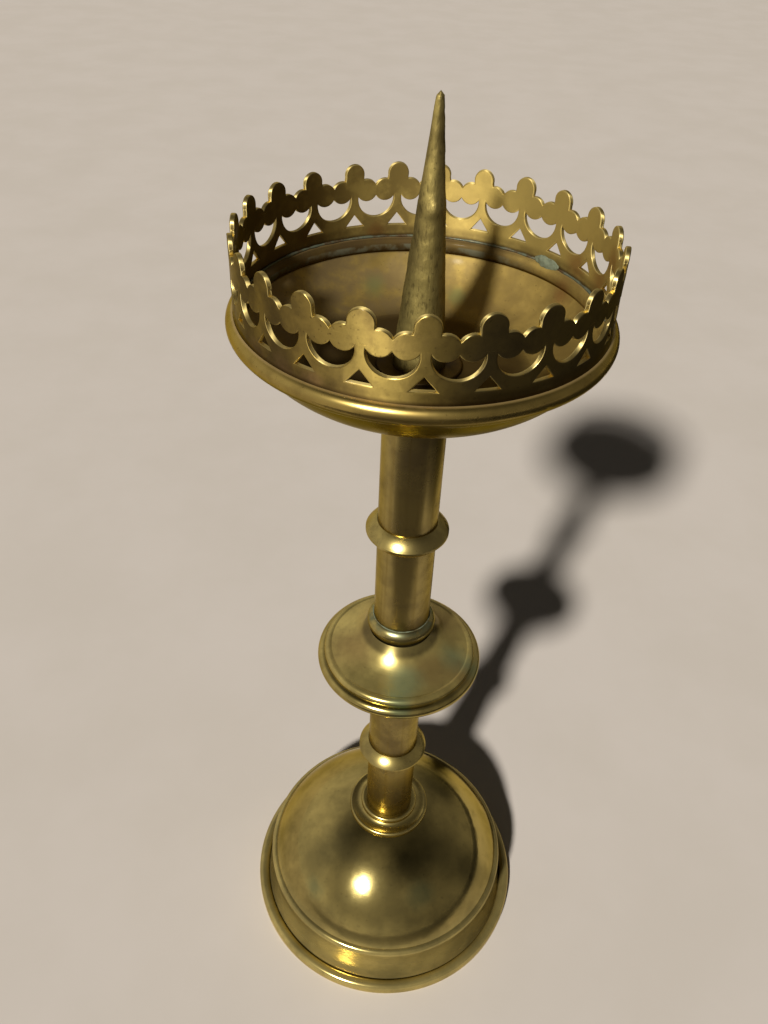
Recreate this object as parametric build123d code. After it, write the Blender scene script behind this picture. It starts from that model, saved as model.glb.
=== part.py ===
from build123d import *
import math
import os

# Pricket candle stand in brass: a spun foot, a stem of drawn tubes and turned rings on one tie rod,
# and a drip pan with a pierced coronet round a spike.
# Millimetres, +Z up. The origin is the centre of the plane that the foot stands on.

# Foot: a bead at the floor, a coved wall, a shoulder, then the dome up to a flat top
foot_radius = 76.2
foot_height = 66.4
foot_wall = 1.4
foot_bead_round = 2.9
foot_bead_height = 5.5
shoulder_radius = 67.6
shoulder_height = 28.0
shoulder_round = 2.6
wall_cove = 1.1
shoulder_ledge = 2.8
dome_top_radius = 21.2
dome_bulge = 5.5

# Stem tubes: one drawn tube, cut into four lengths that show between the turned pieces
tube_radius = 12.5
tube_wall = 1.2
tube_seat = 3.2
tube_clearance = 0.05
lower_tube_shows = 45.0
lower_middle_tube_shows = 40.3
upper_middle_tube_shows = 45.1
top_tube_shows = 69.9

# Tie rod, with its nut and washer in the dome
rod_radius = 4.0
rod_clearance = 0.3
rod_chamfer = 0.8
rod_below_nut = 4.0
foot_washer_radius = 17.0
foot_washer_thickness = 2.0
nut_across_flats = 13.0
nut_height = 6.5
nut_chamfer = 1.0

# Foot collar
collar_height = 6.5
collar_flange_radius = 21.8
collar_flange_height = 2.6
collar_flange_round = 1.4
collar_bead_wall = 2.85
collar_bead_round = 1.6
collar_cove = 0.7
collar_cove_rise = 0.9
spigot_radius = 9.5
spigot_clearance = 0.1

# Turned rings: two alike, bevelled to a narrow edge, each with a socket for a tube at both ends
ring_radius = 17.4
ring_height = 10.2
ring_edge = 0.9
ring_bulge = 0.35
ring_lip = 0.3

# Knop: two spun halves that meet at the widest line, with a collar above and below
knop_radius = 38.2
knop_half_height = 15.7
knop_wall = 1.2
knop_edge_round = 3.0
knop_bead_rise = 1.2
knop_bead_width = 6.4
knop_groove_height = 5.8
knop_sweep = 0.6
knop_collar_height = 11.2
knop_collar_roll = 2.0
knop_collar_lip = 0.3
knop_land = 0.2
neck_wall = 0.9
neck_flare = 0.8
neck_height = 3.6
neck_cove = 0.7

# Stem plug in the top tube
plug_length = 10.0

# Drip pan: a flat floor, a curved wall and a round bead for a rim
pan_wall = 1.4
pan_floor_radius = 41.0
pan_bulge = 3.2
pan_rim_radius = 63.4
pan_rim_height = 21.4
pan_rim_round = 3.6
pan_turning_clearance = 0.1

# Coronet: a pierced strip that stands in a groove along the top of the rim
trefoil_count = 23
first_trefoil_angle = -88.2
coronet_set_out = 0.8
coronet_thickness = 1.8
coronet_height = 28.7
coronet_seat = 0.8
coronet_clearance = 0.1
leaf_share = 0.425
side_leaf_share = 0.48
side_leaf_reach_share = 0.58
arch_share = 0.855
triangle_share = 0.425
side_leaf_height = 18.7
arch_height = 15.7
triangle_base_height = 5.1
triangle_height = 4.6

# Pricket: a cast spike on a washer, screwed down on the rod
pricket_length = 89.6
pricket_radius = 9.6
pricket_waist_height = 58.0
pricket_waist_radius = 4.4
pricket_hollow = 0.4
pricket_tip_round = 1.2
rod_in_pricket = 13.0
bore_room = 1.0
thread_clearance = 0.05
washer_radius = 15.5
washer_thickness = 1.6
washer_round = 0.5

# One overrun for every cut
overrun = 2.0

# Levels of the stack, from the floor up
collar_top = foot_height + collar_height
lower_ring_foot = collar_top + lower_tube_shows
lower_ring_top = lower_ring_foot + ring_height
knop_foot = lower_ring_top + lower_middle_tube_shows
knop_middle = knop_foot + knop_collar_height + knop_half_height
knop_crown = knop_middle + knop_half_height
knop_top = knop_crown + knop_collar_height
upper_ring_foot = knop_top + upper_middle_tube_shows
upper_ring_top = upper_ring_foot + ring_height
pan_foot = upper_ring_top + top_tube_shows
pan_floor = pan_foot + pan_wall
pricket_foot = pan_floor + washer_thickness
rim_level = pan_foot + pan_rim_height
coronet_foot = rim_level + pan_rim_round - coronet_seat
nut_foot = foot_height - foot_wall - foot_washer_thickness - nut_height

# Sizes that follow from the pieces that meet
socket_radius = tube_radius + tube_clearance
rod_hole_radius = rod_radius + rod_clearance
dome_foot_radius = shoulder_radius - shoulder_ledge
collar_bead_radius = socket_radius + collar_bead_wall
neck_radius = tube_radius + neck_wall
neck_foot_radius = neck_radius + neck_flare
knop_collar_radius = neck_radius + knop_collar_roll
knop_top_radius = neck_foot_radius + knop_land
knop_groove_radius = knop_radius - knop_bead_width
coronet_radius = pan_rim_radius + coronet_set_out
coronet_bore_radius = coronet_radius - coronet_thickness
pricket_bore_depth = rod_in_pricket + bore_room


def turned(outline):
    """Solid turned about the stem's axis from a closed outline of radius and height."""
    return revolve(Plane.XZ * make_face(outline), Axis.Z)


def disc(radius, foot, top):
    """Plain round block between two levels."""
    return Pos(0, 0, foot) * Cylinder(radius, top - foot, align=(Align.CENTER, Align.CENTER, Align.MIN))


def make_foot():
    """Spun shell, open below, with a hole in its flat top for the collar's spigot."""
    bead_level = foot_bead_height - foot_bead_round
    bead_inner = foot_radius - foot_bead_round - foot_bead_round
    outside = Polyline((0, foot_height), (0, 0), (foot_radius, 0), (foot_radius, bead_level))
    outside += ThreePointArc(
        (foot_radius, bead_level),
        (foot_radius - foot_bead_round, foot_bead_height),
        (bead_inner, bead_level),
    )
    outside += SagittaArc(
        (bead_inner, bead_level), (shoulder_radius, shoulder_height - shoulder_round), wall_cove
    )
    outside += RadiusArc(
        (shoulder_radius, shoulder_height - shoulder_round),
        (shoulder_radius - shoulder_round, shoulder_height),
        -shoulder_round,
    )
    outside += Line((shoulder_radius - shoulder_round, shoulder_height), (dome_foot_radius, shoulder_height))
    outside += SagittaArc((dome_foot_radius, shoulder_height), (dome_top_radius, foot_height), -dome_bulge)
    outside += Line((dome_top_radius, foot_height), (0, foot_height))

    skirt_radius = bead_inner - foot_wall
    ledge = shoulder_height - foot_wall
    ceiling = foot_height - foot_wall
    inside = Polyline((0, ceiling), (0, -overrun), (skirt_radius, -overrun), (skirt_radius, bead_level))
    inside += SagittaArc((skirt_radius, bead_level), (shoulder_radius - foot_wall, ledge), wall_cove)
    inside += Line((shoulder_radius - foot_wall, ledge), (dome_foot_radius - foot_wall, ledge))
    inside += SagittaArc((dome_foot_radius - foot_wall, ledge), (dome_top_radius, ceiling), -dome_bulge)
    inside += Line((dome_top_radius, ceiling), (0, ceiling))

    hole = disc(spigot_radius + spigot_clearance, ceiling - overrun, foot_height + overrun)
    return turned(outside) - turned(inside) - hole


def make_foot_collar():
    """Turned flange and bead on the dome, with a socket for the lowest tube."""
    flange_top = foot_height + collar_flange_height
    bead_foot = flange_top + collar_cove_rise
    outline = Polyline(
        (rod_hole_radius, collar_top - tube_seat),
        (rod_hole_radius, foot_height - foot_wall),
        (spigot_radius, foot_height - foot_wall),
        (spigot_radius, foot_height),
        (collar_flange_radius, foot_height),
        (collar_flange_radius, flange_top - collar_flange_round),
    )
    outline += RadiusArc(
        (collar_flange_radius, flange_top - collar_flange_round),
        (collar_flange_radius - collar_flange_round, flange_top),
        -collar_flange_round,
    )
    outline += SagittaArc(
        (collar_flange_radius - collar_flange_round, flange_top),
        (collar_bead_radius, bead_foot),
        collar_cove,
    )
    outline += Line((collar_bead_radius, bead_foot), (collar_bead_radius, collar_top - collar_bead_round))
    outline += RadiusArc(
        (collar_bead_radius, collar_top - collar_bead_round),
        (collar_bead_radius - collar_bead_round, collar_top),
        -collar_bead_round,
    )
    outline += Polyline(
        (collar_bead_radius - collar_bead_round, collar_top),
        (socket_radius, collar_top),
        (socket_radius, collar_top - tube_seat),
        (rod_hole_radius, collar_top - tube_seat),
    )
    return turned(outline)


def make_tube(foot, top):
    """Length of drawn tube between two seats."""
    return disc(tube_radius, foot, top) - disc(tube_radius - tube_wall, foot - overrun, top + overrun)


def make_ring(foot):
    """Double bevel with a socket at each end and a web between them that the rod passes through."""
    top = foot + ring_height
    lip_radius = socket_radius + ring_lip
    edge_foot = foot + (ring_height - ring_edge) / 2
    edge_top = edge_foot + ring_edge
    outline = SagittaArc((lip_radius, foot), (ring_radius, edge_foot), -ring_bulge)
    outline += Line((ring_radius, edge_foot), (ring_radius, edge_top))
    outline += SagittaArc((ring_radius, edge_top), (lip_radius, top), -ring_bulge)
    outline += Polyline(
        (lip_radius, top),
        (socket_radius, top),
        (socket_radius, top - tube_seat),
        (rod_hole_radius, top - tube_seat),
        (rod_hole_radius, foot + tube_seat),
        (socket_radius, foot + tube_seat),
        (socket_radius, foot),
        (lip_radius, foot),
    )
    return turned(outline)


def make_knop_half():
    """Upper saucer of the knop: a round edge, a bead, a groove, then a hollow sweep up to a flat top."""
    edge_radius = knop_radius - knop_edge_round
    edge_top = knop_middle + knop_edge_round
    groove = knop_middle + knop_groove_height
    hole_radius = spigot_radius + spigot_clearance
    outline = RadiusArc((knop_radius, knop_middle), (edge_radius, edge_top), -knop_edge_round)
    outline += SagittaArc((edge_radius, edge_top), (knop_groove_radius, groove), -knop_bead_rise)
    outline += SagittaArc((knop_groove_radius, groove), (knop_top_radius, knop_crown), knop_sweep)
    outline += Polyline(
        (knop_top_radius, knop_crown),
        (hole_radius, knop_crown),
        (hole_radius, knop_crown - knop_wall),
        (knop_top_radius, knop_crown - knop_wall),
    )
    outline += SagittaArc(
        (knop_top_radius, knop_crown - knop_wall), (knop_groove_radius, groove - knop_wall), -knop_sweep
    )
    outline += Polyline(
        (knop_groove_radius, groove - knop_wall), (edge_radius, knop_middle), (knop_radius, knop_middle)
    )
    return turned(outline)


def make_knop_collar():
    """Upper collar of the knop: a coved neck and a round roll, on a spigot that reaches the knop's middle."""
    neck_top = knop_crown + neck_height
    roll_level = (neck_top + knop_top) / 2
    lip_radius = socket_radius + knop_collar_lip
    outline = Polyline(
        (rod_hole_radius, knop_top - tube_seat),
        (rod_hole_radius, knop_middle),
        (spigot_radius, knop_middle),
        (spigot_radius, knop_crown),
        (neck_foot_radius, knop_crown),
    )
    outline += SagittaArc((neck_foot_radius, knop_crown), (neck_radius, neck_top), neck_cove)
    outline += ThreePointArc((neck_radius, neck_top), (knop_collar_radius, roll_level), (lip_radius, knop_top))
    outline += Polyline(
        (lip_radius, knop_top),
        (socket_radius, knop_top),
        (socket_radius, knop_top - tube_seat),
        (rod_hole_radius, knop_top - tube_seat),
    )
    return turned(outline)


def make_stem_plug():
    """Plug flush with the top tube's end, which centres the rod under the pan."""
    plug = disc(tube_radius - tube_wall - tube_clearance, pan_foot - plug_length, pan_foot)
    return plug - disc(rod_hole_radius, pan_foot - plug_length - overrun, pan_foot + overrun)


def make_drip_pan():
    """Dish with a round rim, a groove along the rim for the coronet and a hole for the rod."""
    hole_radius = rod_radius + pan_turning_clearance
    wall_top = rim_level - pan_rim_round / 2
    outline = Polyline((hole_radius, pan_floor), (hole_radius, pan_foot), (pan_floor_radius, pan_foot))
    outline += SagittaArc((pan_floor_radius, pan_foot), (pan_rim_radius, wall_top), -pan_bulge)
    outline += Line((pan_rim_radius, wall_top), (pan_rim_radius - pan_wall, wall_top + pan_wall))
    outline += SagittaArc(
        (pan_rim_radius - pan_wall, wall_top + pan_wall), (pan_floor_radius, pan_floor), pan_bulge
    )
    outline += Line((pan_floor_radius, pan_floor), (hole_radius, pan_floor))
    rim = Pos(0, 0, rim_level) * Torus(pan_rim_radius, pan_rim_round)
    groove_top = coronet_foot + coronet_seat + overrun
    groove = disc(coronet_radius + coronet_clearance, coronet_foot, groove_top)
    groove -= disc(coronet_bore_radius - coronet_clearance, coronet_foot - overrun, groove_top + overrun)
    return turned(outline) + rim - groove


def make_coronet():
    """Strip pierced with arches, triangles and the gaps that leave a row of trefoils, joined leaf to leaf."""
    half_angle = math.pi / trefoil_count
    half_pitch = (coronet_radius - coronet_thickness / 2) * math.sin(half_angle)
    leaf = leaf_share * half_pitch
    side_leaf = side_leaf_share * half_pitch
    side_leaf_place = half_pitch - side_leaf_reach_share * half_pitch
    leaf_height = coronet_height - leaf

    side_leaves = Pos(side_leaf_place, side_leaf_height) * Circle(side_leaf)
    side_leaves += Pos(-side_leaf_place, side_leaf_height) * Circle(side_leaf)

    arch = Pos(0, arch_height) * Circle(arch_share * half_pitch)
    arch -= Pos(0, side_leaf_height) * Rectangle(
        half_pitch + half_pitch, coronet_height, align=(Align.CENTER, Align.MIN)
    )
    arch -= side_leaves

    gap = Pos(0, side_leaf_height) * Rectangle(
        half_pitch + half_pitch + leaf, coronet_height, align=(Align.CENTER, Align.MIN)
    )
    gap -= side_leaves
    for side in (-half_pitch, half_pitch):
        gap -= Pos(side, leaf_height) * Circle(leaf)
        gap -= Pos(side, leaf_height) * Rectangle(
            leaf + leaf, leaf_height - side_leaf_height, align=(Align.CENTER, Align.MAX)
        )

    triangle_top = triangle_base_height + triangle_height
    triangle = make_face(
        Polyline(
            (-triangle_share * half_pitch, triangle_base_height),
            (triangle_share * half_pitch, triangle_base_height),
            (0, triangle_top),
            (-triangle_share * half_pitch, triangle_base_height),
        )
    )

    face = Plane(origin=(coronet_bore_radius - overrun, 0, coronet_foot), x_dir=(0, 1, 0), z_dir=(1, 0, 0))
    through = coronet_thickness + overrun + overrun
    between = extrude(face * (arch + gap), through)
    under = extrude(face * triangle, through)
    pitch_angle = math.degrees(half_angle + half_angle)
    cutters = []
    for index in range(trefoil_count):
        angle = first_trefoil_angle + index * pitch_angle
        cutters.append(Rot(0, 0, angle) * under)
        cutters.append(Rot(0, 0, angle + pitch_angle / 2) * between)

    strip = disc(coronet_radius, coronet_foot, coronet_foot + coronet_height + overrun / 2)
    strip -= disc(coronet_bore_radius, coronet_foot - overrun, coronet_foot + coronet_height + overrun)
    return strip - cutters


def make_pricket():
    """Spike that tapers faster above its waist, with a rounded point, bored below for the rod."""
    point = pricket_foot + pricket_length
    waist = pricket_foot + pricket_waist_height
    outline = Polyline(
        (0, point), (0, pricket_foot), (pricket_radius, pricket_foot), (pricket_waist_radius, waist)
    )
    outline += SagittaArc(
        (pricket_waist_radius, waist), (pricket_tip_round, point - pricket_tip_round), pricket_hollow
    )
    outline += RadiusArc((pricket_tip_round, point - pricket_tip_round), (0, point), -pricket_tip_round)
    bore = disc(rod_radius + thread_clearance, pricket_foot - overrun, pricket_foot + pricket_bore_depth)
    return turned(outline) - bore


def make_pricket_washer():
    """Flat disc between the pan's floor and the spike, with its upper edge rounded."""
    washer = disc(washer_radius, pan_floor, pricket_foot)
    washer = fillet(washer.edges().group_by(Axis.Z)[-1], washer_round)
    return washer - disc(rod_radius + thread_clearance, pan_floor - overrun, pricket_foot + overrun)


def make_tie_rod():
    """Rod from below the nut to inside the spike, chamfered at both ends."""
    rod = disc(rod_radius, nut_foot - rod_below_nut, pricket_foot + rod_in_pricket)
    ends = rod.edges().filter_by(GeomType.CIRCLE)
    return chamfer(ends, rod_chamfer)


def make_foot_washer():
    """Washer against the flat inside of the dome."""
    washer_top = foot_height - foot_wall
    washer_foot = washer_top - foot_washer_thickness
    washer = disc(foot_washer_radius, washer_foot, washer_top)
    return washer - disc(rod_hole_radius, washer_foot - overrun, washer_top + overrun)


def make_foot_nut():
    """Hexagon nut, with its corners turned off at the lower end."""
    nut_top = nut_foot + nut_height
    corner_radius = nut_across_flats / 2 / math.cos(math.pi / 6)
    blank = Pos(0, 0, nut_foot) * extrude(RegularPolygon(corner_radius, 6), nut_height)
    turned_off = Polyline(
        (0, nut_foot),
        (corner_radius - nut_chamfer, nut_foot),
        (corner_radius, nut_foot + nut_chamfer / 2),
        (corner_radius, nut_top),
        (0, nut_top),
        (0, nut_foot),
    )
    bore = disc(rod_radius + thread_clearance, nut_foot - overrun, nut_top + overrun)
    return (blank & turned(turned_off)) - bore


knop_half = make_knop_half()
knop_collar = make_knop_collar()
knop_mirror = Plane.XY.offset(knop_middle)

pieces = {
    "foot": make_foot(),
    "foot_collar": make_foot_collar(),
    "lower_tube": make_tube(collar_top - tube_seat, lower_ring_foot + tube_seat),
    "lower_ring": make_ring(lower_ring_foot),
    "lower_middle_tube": make_tube(lower_ring_top - tube_seat, knop_foot + tube_seat),
    "knop_lower_collar": mirror(knop_collar, knop_mirror),
    "knop_lower_half": mirror(knop_half, knop_mirror),
    "knop_upper_half": knop_half,
    "knop_upper_collar": knop_collar,
    "upper_middle_tube": make_tube(knop_top - tube_seat, upper_ring_foot + tube_seat),
    "upper_ring": make_ring(upper_ring_foot),
    "top_tube": make_tube(upper_ring_top - tube_seat, pan_foot),
    "stem_plug": make_stem_plug(),
    "drip_pan": make_drip_pan(),
    "coronet": make_coronet(),
    "pricket_washer": make_pricket_washer(),
    "pricket": make_pricket(),
    "tie_rod": make_tie_rod(),
    "foot_washer": make_foot_washer(),
    "foot_nut": make_foot_nut(),
}

os.makedirs("parts", exist_ok=True)
for name, piece in pieces.items():
    export_step(piece, f"parts/{name}.step")
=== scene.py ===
import math

import bpy
from mathutils import Matrix, Vector


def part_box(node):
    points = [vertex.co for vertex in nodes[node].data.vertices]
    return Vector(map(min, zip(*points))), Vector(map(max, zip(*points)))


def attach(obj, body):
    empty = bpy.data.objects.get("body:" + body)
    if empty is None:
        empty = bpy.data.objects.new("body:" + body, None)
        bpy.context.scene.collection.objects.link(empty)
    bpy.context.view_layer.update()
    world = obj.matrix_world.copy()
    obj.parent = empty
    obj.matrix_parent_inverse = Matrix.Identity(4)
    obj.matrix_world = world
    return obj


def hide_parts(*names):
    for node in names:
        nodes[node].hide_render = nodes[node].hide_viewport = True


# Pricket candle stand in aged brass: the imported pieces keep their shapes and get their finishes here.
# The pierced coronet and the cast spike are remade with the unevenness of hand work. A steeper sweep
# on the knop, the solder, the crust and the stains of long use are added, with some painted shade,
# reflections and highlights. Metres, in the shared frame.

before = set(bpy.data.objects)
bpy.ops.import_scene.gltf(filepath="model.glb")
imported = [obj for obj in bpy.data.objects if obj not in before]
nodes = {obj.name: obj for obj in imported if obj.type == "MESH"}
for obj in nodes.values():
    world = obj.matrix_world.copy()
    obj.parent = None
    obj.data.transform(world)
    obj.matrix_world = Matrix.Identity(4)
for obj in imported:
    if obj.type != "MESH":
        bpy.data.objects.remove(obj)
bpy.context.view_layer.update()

MM = 0.001

# Places that the new pieces and the stains are set out from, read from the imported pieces
coronet_low, coronet_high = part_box("coronet")
spike_low, spike_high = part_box("pricket")
rim_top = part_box("drip_pan")[1].z
knop_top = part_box("knop_upper_collar")[1].z
knop_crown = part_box("knop_upper_half")[1].z
tube_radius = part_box("top_tube")[1].x
coronet_radius = coronet_high.x

# Coronet strip laid out flat, in millimetres and in shares of half the spacing of its trefoils
TREFOILS = 23
STRIP_THICKNESS = 1.8
STRIP_HEIGHT = 28.7
STRIP_EDGE_WEAR = 0.42
STRIP_SLICE = 4.0
SEAM_ANGLE = -158.6
LEAF_SHARE = 0.445
SIDE_LEAF_SHARE = 0.48
SIDE_LEAF_REACH_SHARE = 0.58
SIDE_LEAF_HEIGHT = 18.7
ARCH_SHARE = 0.825
ARCH_HEIGHT = 15.7
TRIANGLE_SHARE = 0.425
TRIANGLE_FOOT = 5.1
TRIANGLE_TOP = 9.7
ARC_STEP = 9.0

# Uneven spacing of the bent strip: an even turn in degrees,
# then swings of so many times round, degrees and phase
STRIP_TURN = 1.48
STRIP_SWINGS = ((1, 1.83, 65), (2, 0.73, -44), (3, 0.77, 148))

# How far the strip stands off its circle and its leaves off the strip, in millimetres,
# and the share of its height where the leaves begin to lean
STRIP_WOBBLE = 0.3
LEAF_LEAN = 0.5
LEAF_LEAN_START = 0.6

# How unlike the top leaves are: in size as a share, in drop and in sideways shift in millimetres
LEAF_UNEVEN = 0.05
LEAF_DROP = 0.3
LEAF_SHIFT = 0.2

# Edges sharper than this many degrees stay sharp to the eye
SHARP_ANGLE = 40

# Cast spike: its bore, the bump near its waist, its lean, and the share of its height where each begins
SPIKE_SIDES = 48
SPIKE_BORE_RADIUS = 4.05 * MM
SPIKE_BORE_DEPTH = 14 * MM
SPIKE_TIP = 0.985
SPIKE_BUMP_PLACE = Vector((1.2 * MM, -4.3 * MM, 406.5 * MM))
SPIKE_BUMP_WIDTH = 2.6 * MM
SPIKE_BUMP_SWELL = 0.2
SPIKE_BUMP_START = 0.3
SPIKE_LEAN = 1.1 * MM
SPIKE_LEAN_START = 0.16

# Unevenness of the cast skin, each kind with its width and depth in millimetres
CAST_SKIN = (("lumps", 7, 0.5), ("dents", 3, 0.25), ("sand", 1.6, 0.15))

# Height share and radius share of the spike, read up from its foot
SPIKE_PROFILE = (
    (0.0, 1.0),
    (0.02, 0.985),
    (0.12, 0.89),
    (0.25, 0.785),
    (0.38, 0.68),
    (0.5, 0.575),
    (0.58, 0.51),
    (0.647, 0.458),
    (0.72, 0.38),
    (0.8, 0.3),
    (0.88, 0.225),
    (0.95, 0.165),
    (SPIKE_TIP, 0.125),
)

# Lines of solder and crust, and the lump of solder: sizes, and how deep their unevenness goes
LINE_STEPS = 240
LINE_SIDES = 10
SEAM_RADIUS = 61.9 * MM
SEAM_ROUND = 0.55 * MM
SEAM_UNEVEN = 0.7 * MM
CRUST_GAP = 0.25 * MM
CRUST_ROUND = 0.3 * MM
CRUST_UNEVEN = 0.4 * MM
PATCH_HALF_SIZE = (0.9 * MM, 6 * MM, 2.4 * MM)
PATCH_UNEVEN = 1.4 * MM
PATCH_ANGLE = 42
PATCH_RADIUS = 61.2 * MM
PATCH_LIFT = 0.6 * MM

# Sweep of the knop: its reach and rise over the saucer, whose own outline it follows at its edge
SWEEP_RADIUS = 24 * MM
SWEEP_NECK_RADIUS = 14.4 * MM
SWEEP_RISE = 3.0 * MM
SWEEP_WALL = 0.5 * MM
SWEEP_STEPS = 14
SWEEP_SIDES = 96
SAUCER_GROOVE_RADIUS = 31.8 * MM
SAUCER_RISE = 9.9 * MM
SAUCER_HOLLOW = 0.69 * MM

# The photograph's camera, solved from the outlines:
# place in metres, angles in radians, focal length in pixels
IMAGE_HEIGHT_PX = 1024
FOCAL_PX = 848.6
SENSOR_MM = 36.0
CAMERA_PLACE = Vector((0.0, -0.2696, 0.5013))
CAMERA_YAW = -0.0372
CAMERA_PITCH = 0.6874
CAMERA_ROLL = 0.0455

# The lamp: its direction and apparent width in degrees, and its strength
LAMP_SIDE = -114
LAMP_HEIGHT = 36.5
LAMP_WIDTH = 5
LAMP_STRENGTH = 4.6

# Stains that the photograph shows, each with its place on the piece and its size in millimetres; some of them
# are painted dark reflections or a painted highlight, as marked below
# Dark patches on the foot's dome, partly tarnish and partly painted dark reflections of the dim room
FOOT_LEFT_TARNISH_AND_REFLECTION = (((-25, -24, 60), 20), ((-39, -27, 50), 19))
FOOT_RIGHT_TARNISH_AND_REFLECTION = (
    ((28, -23, 58), 27),
    ((14, -32, 59), 19),
    ((46, -24, 46), 17),
    ((26, 16, 62), 25),
)
FOOT_GREEN = (((-38, -41, 42), 9), ((21, -44, 49), 12))
KNOP_GREEN = (
    ((4, -25, 204), 11),
    ((0, -33, 201), 9),
    ((3, -37, 198), 7),
    ((25, -8, 204), 11),
    ((34, -10, 198), 9),
)
KNOP_BROWN = (((-21, -8, 206), 18), ((15, -19, 205), 14), ((20, 14, 205), 18), ((27, -14, 201), 12))
PAN_GREEN = (((13, 49, 354), 6), ((-20, 50, 355), 7))
PAN_RED = (((50, 30, 366), 7), ((57, 12, 365), 8))
STRIP_RED = (
    ((61, 14, 378), 9),
    ((62, 6, 388), 8),
    ((62, -6, 380), 8),
    ((55, 30, 377), 8),
    ((-20, 60, 374), 6),
    ((-46, 43, 378), 6),
)
# Painted highlight: a pale band on the strip's foot, standing in for the sunlit top of the pan's bead
STRIP_FOOT_PAINTED_HIGHLIGHT = (((-40, -50, 373), 7), ((-31, -56, 373), 6), ((-50, -40, 373), 6))

# Where the dirt of the turned pieces and the painted shade in the knop's cove begin and are full, as radii
# and heights in millimetres
FOOT_UNPOLISHED_LEVEL = (34, 24)
KNOP_COVE_SHADE_EDGE = (18.6, 16.6)
KNOP_COVE_SHADE_LEVEL = (208, 209.5)
KNOP_HANDLED_EDGE = (33, 36)
PAN_INSIDE_EDGE = (62.6, 61.6)
PAN_FLOOR_EDGE = (46, 36)
PAN_BEAD_EDGE = (62.4, 61.4)
PAN_BEAD_LEVEL = (365.5, 366.5)
PAN_SEAM_EDGE = (65.4, 64.6)

# Crust on the pan's inner bead: its lower and upper edge, and how softly they end
PAN_CRUST_LOW = 367.4 * MM
PAN_CRUST_HIGH = 369.4 * MM
PAN_CRUST_SOFT = 0.7 * MM

# Unevenness of the patches and stains
MOTTLE_ROUGHNESS = 0.6

# Old wax polish over the satin metal, which keeps its highlights small and sharp
WAX_SHINE = 0.1
WAX_ROUGHNESS = 0.13

# Sockets of the Mix node that carry colours
FACTOR, COLOUR_A, COLOUR_B, COLOUR_OUT = 0, 6, 7, 2


def linear(code):
    """Linear colour of an sRGB hex code."""
    shares = [int(code[place : place + 2], 16) / 255 for place in (1, 3, 5)]
    return tuple(s / 12.92 if s <= 0.04045 else ((s + 0.055) / 1.055) ** 2.4 for s in shares) + (1.0,)


def scale_of(millimetres):
    """Scale of a texture on Object coordinates whose features are about this wide."""
    return 1 / (millimetres * MM)


def add(tree, kind, links=None, **settings):
    """Adds a node with its settings, and sets or links its input sockets."""
    node = tree.nodes.new(kind)
    for name, value in settings.items():
        setattr(node, name, value)
    for socket, value in (links or {}).items():
        if isinstance(value, bpy.types.NodeSocket):
            tree.links.new(value, node.inputs[socket])
        else:
            node.inputs[socket].default_value = value
    return node


def fade(tree, value, start, end):
    """Mask that runs smoothly from 0 at start to 1 at end."""
    links = {"Value": value, "From Min": start, "From Max": end}
    return add(tree, "ShaderNodeMapRange", links, interpolation_type="SMOOTHSTEP").outputs[0]


def fade_mm(tree, value, start, end):
    """Mask that runs smoothly from 0 at start to 1 at end, both in millimetres."""
    return fade(tree, value, start * MM, end * MM)


def reckon(tree, operation, *values):
    """Result of one step of arithmetic on masks."""
    return add(tree, "ShaderNodeMath", dict(enumerate(values)), operation=operation).outputs[0]


def ranged(tree, mask, low, high):
    """Value that goes from low to high as the mask goes from 0 to 1."""
    return add(tree, "ShaderNodeMapRange", {"Value": mask, "To Min": low, "To Max": high}).outputs[0]


def noise(tree, where, size, detail, roughness=0.5):
    """Noise whose features are about this many millimetres wide."""
    links = {"Vector": where, "Scale": scale_of(size), "Detail": detail, "Roughness": roughness}
    return add(tree, "ShaderNodeTexNoise", links).outputs[0]


def both(tree, first, second):
    """Mask where two masks meet."""
    return reckon(tree, "MULTIPLY", first, second)


def band(tree, value, low, high, soft):
    """Mask between two levels, with soft edges."""
    return both(tree, fade(tree, value, low - soft, low), fade(tree, value, high + soft, high))


def laid_over(tree, colour, mask, code, strength=1.0):
    """Colour with another one laid over it where the mask is, as strongly as this."""
    if strength < 1:
        mask = both(tree, mask, strength)
    links = {FACTOR: mask, COLOUR_A: colour, COLOUR_B: linear(code)}
    return add(tree, "ShaderNodeMix", links, data_type="RGBA").outputs[COLOUR_OUT]


def new_metal(name):
    """Material with a metal shader, and the places that its patterns follow."""
    material = bpy.data.materials.new(name)
    material.use_nodes = True
    tree = material.node_tree
    shader = tree.nodes["Principled BSDF"]
    shader.inputs["Metallic"].default_value = 1
    coordinates = add(tree, "ShaderNodeTexCoord")
    at = coordinates.outputs["Object"]
    split = add(tree, "ShaderNodeSeparateXYZ", {0: at})
    flat = add(tree, "ShaderNodeCombineXYZ", {0: split.outputs[0], 1: split.outputs[1]}).outputs[0]
    radius = add(tree, "ShaderNodeVectorMath", {0: flat}, operation="LENGTH").outputs["Value"]
    turned = add(tree, "ShaderNodeCombineXYZ", {0: radius, 2: split.outputs[2]}).outputs[0]
    facing = add(tree, "ShaderNodeSeparateXYZ", {0: coordinates.outputs["Normal"]}).outputs[2]
    outward = add(
        tree, "ShaderNodeVectorMath", {0: flat, 1: coordinates.outputs["Normal"]}, operation="DOT_PRODUCT"
    ).outputs["Value"]
    where = {
        "at": at,
        "x": split.outputs[0],
        "y": split.outputs[1],
        "height": split.outputs[2],
        "radius": radius,
        "turned": turned,
        "facing_up": facing,
        "outward": outward,
    }
    return material, tree, shader, where


def mottle(tree, where, size, low, high, detail=4.0):
    """Mask of soft patches about this many millimetres across."""
    return fade(tree, noise(tree, where, size, detail, MOTTLE_ROUGHNESS), low, high)


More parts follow.
